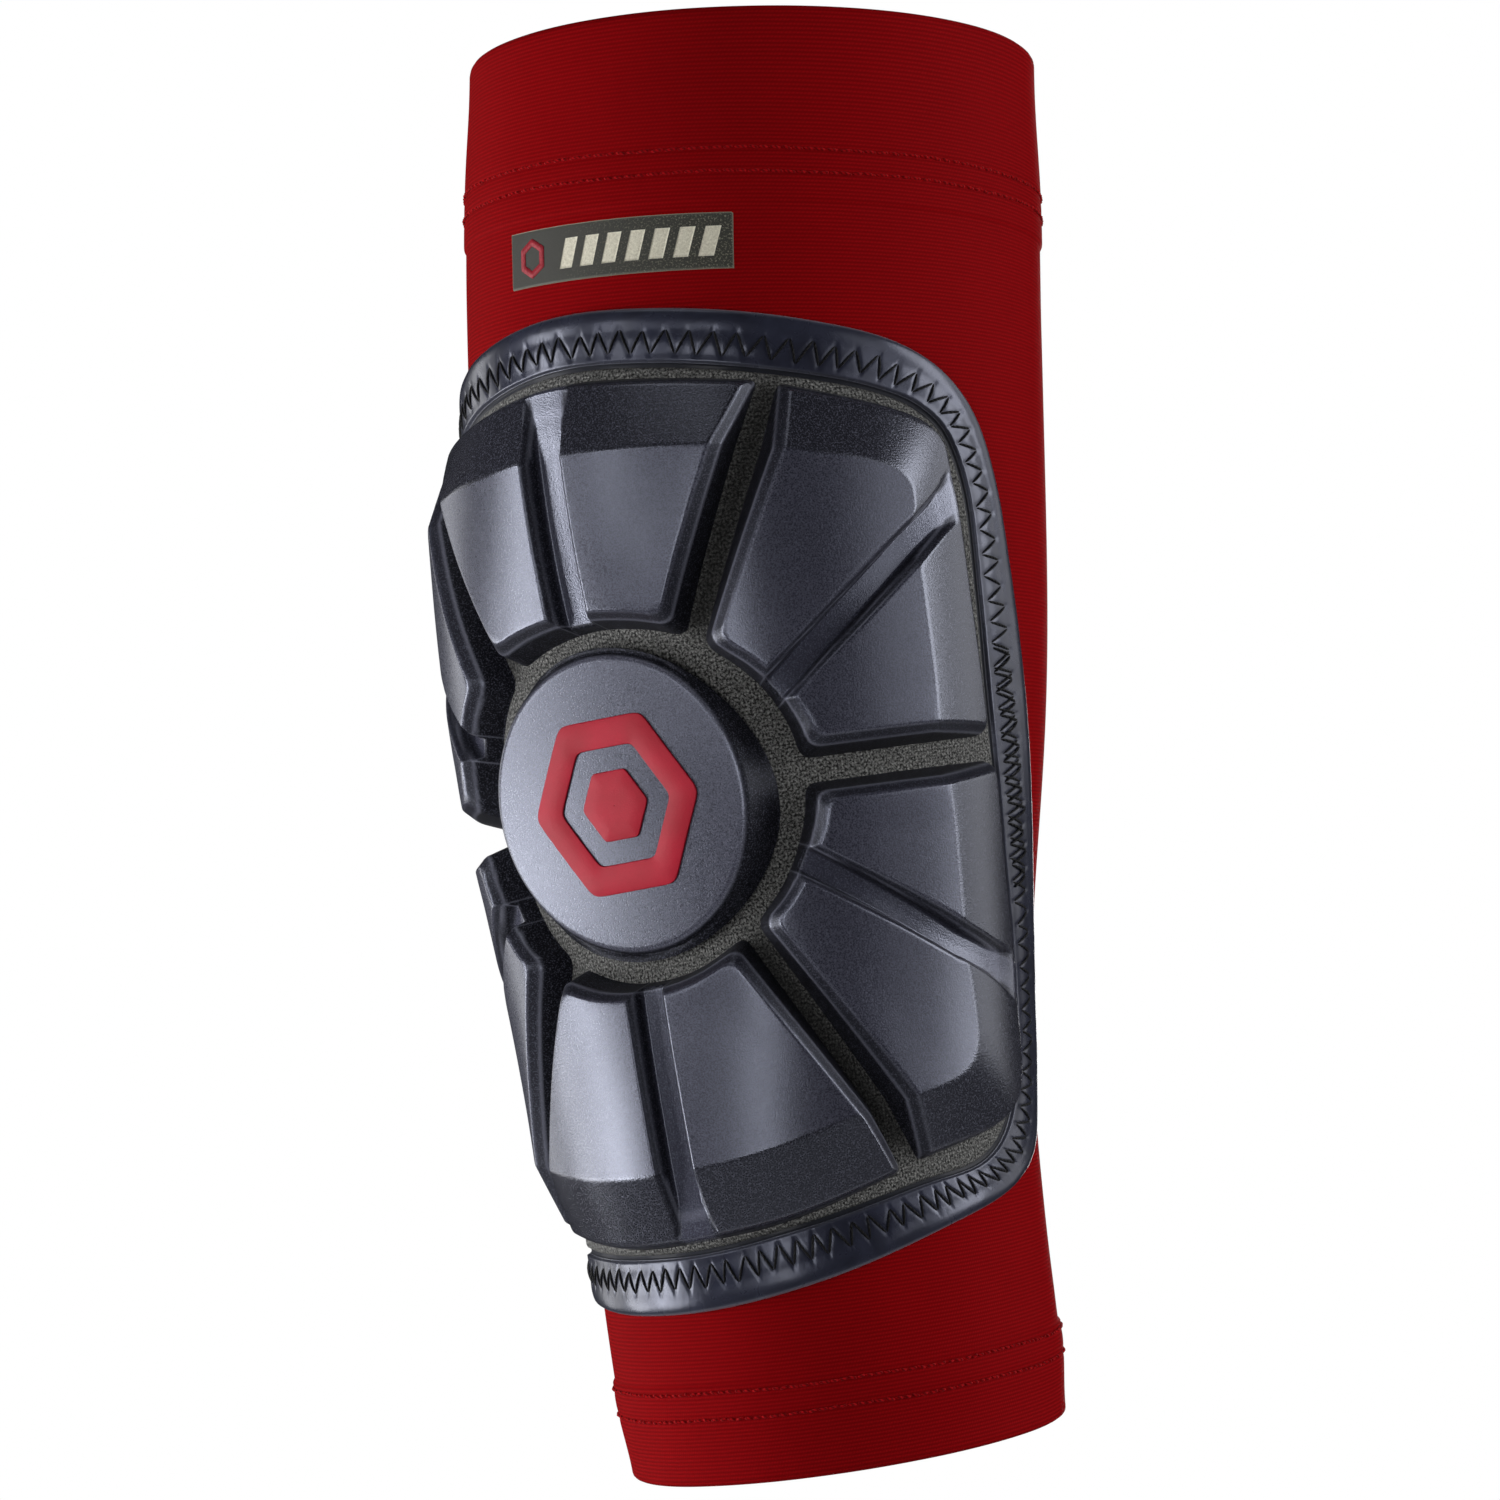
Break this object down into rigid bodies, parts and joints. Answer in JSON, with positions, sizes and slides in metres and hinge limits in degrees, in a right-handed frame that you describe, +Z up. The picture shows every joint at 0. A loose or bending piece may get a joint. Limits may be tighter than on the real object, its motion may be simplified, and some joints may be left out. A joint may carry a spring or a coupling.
{
  "type": "forearm guard",
  "caption": "Pull-on elastic elbow and forearm guard with a segmented moulded pad over the elbow, flexing at the elbow.",
  "frame": {"origin": "on the arm's centreline, level with the centre of the pad's disc", "axes": "+Z up the arm towards the shoulder, -Y the side that the pad faces, +X to the right when looking at the pad"},
  "size_m": [0.1127, 0.1283, 0.2716],
  "materials": {
    "red_knit": "fine ribbed elastic knit",
    "red_thread": "twisted thread",
    "edge_film": "glossy urethane film",
    "black_thread": "twisted thread",
    "grey_textile": "woven, speckled",
    "satin_urethane": "satin, fine grained",
    "foam": "closed cell impact foam",
    "red_inlay": "matt, fine grained",
    "label_film": "matt transfer",
    "label_print": "matt transfer"
  },
  "bodies": {
    "upper": {"sleeve_upper": "red_knit", "sleeve_elbow": "red_knit", "upper_hem_facing": "red_knit", "upper_hem_stitch_row_1": "red_thread", "upper_hem_stitch_row_2": "red_thread", "back_seam": "red_thread", "pad_textile": "grey_textile", "edge_film": "edge_film", "zigzag_stitch": "black_thread", "petal_top": "satin_urethane", "petal_top_core": "foam", "petal_upper_right": "satin_urethane", "petal_upper_right_core": "foam", "petal_upper_left": "satin_urethane", "petal_upper_left_core": "foam", "label_patch": "label_film", "label_hexagon": "red_inlay", "label_bars": "label_print"},
    "lower": {"sleeve_lower": "red_knit", "lower_hem_facing": "red_knit", "lower_hem_stitch_row_1": "red_thread", "lower_hem_stitch_row_2": "red_thread", "petal_lower_right": "satin_urethane", "petal_lower_right_core": "foam", "petal_lower_left": "satin_urethane", "petal_lower_left_core": "foam", "petal_bottom": "satin_urethane", "petal_bottom_core": "foam"},
    "disc": {"centre_disc": "satin_urethane", "centre_disc_core": "foam", "emblem_ring": "red_inlay", "emblem_centre": "red_inlay"}
  },
  "joints": [
    {"name": "elbow_flex", "type": "hinge", "parent": "upper", "child": "lower", "pos_m": [0, -0.012, 0], "axis": [1, 0, 0], "range_deg": [-6, 20], "stiffness_Nm_per_rad": 1, "deforming": ["sleeve_elbow", "pad_textile", "edge_film", "zigzag_stitch", "back_seam"]},
    {"name": "disc_follow", "type": "hinge", "parent": "upper", "child": "disc", "pos_m": [0, -0.012, 0], "axis": [1, 0, 0], "range_deg": [-3, 10]}
  ],
  "couplings": [
    {"joint": "disc_follow", "follows": "elbow_flex", "ratio": 0.5}
  ]
}
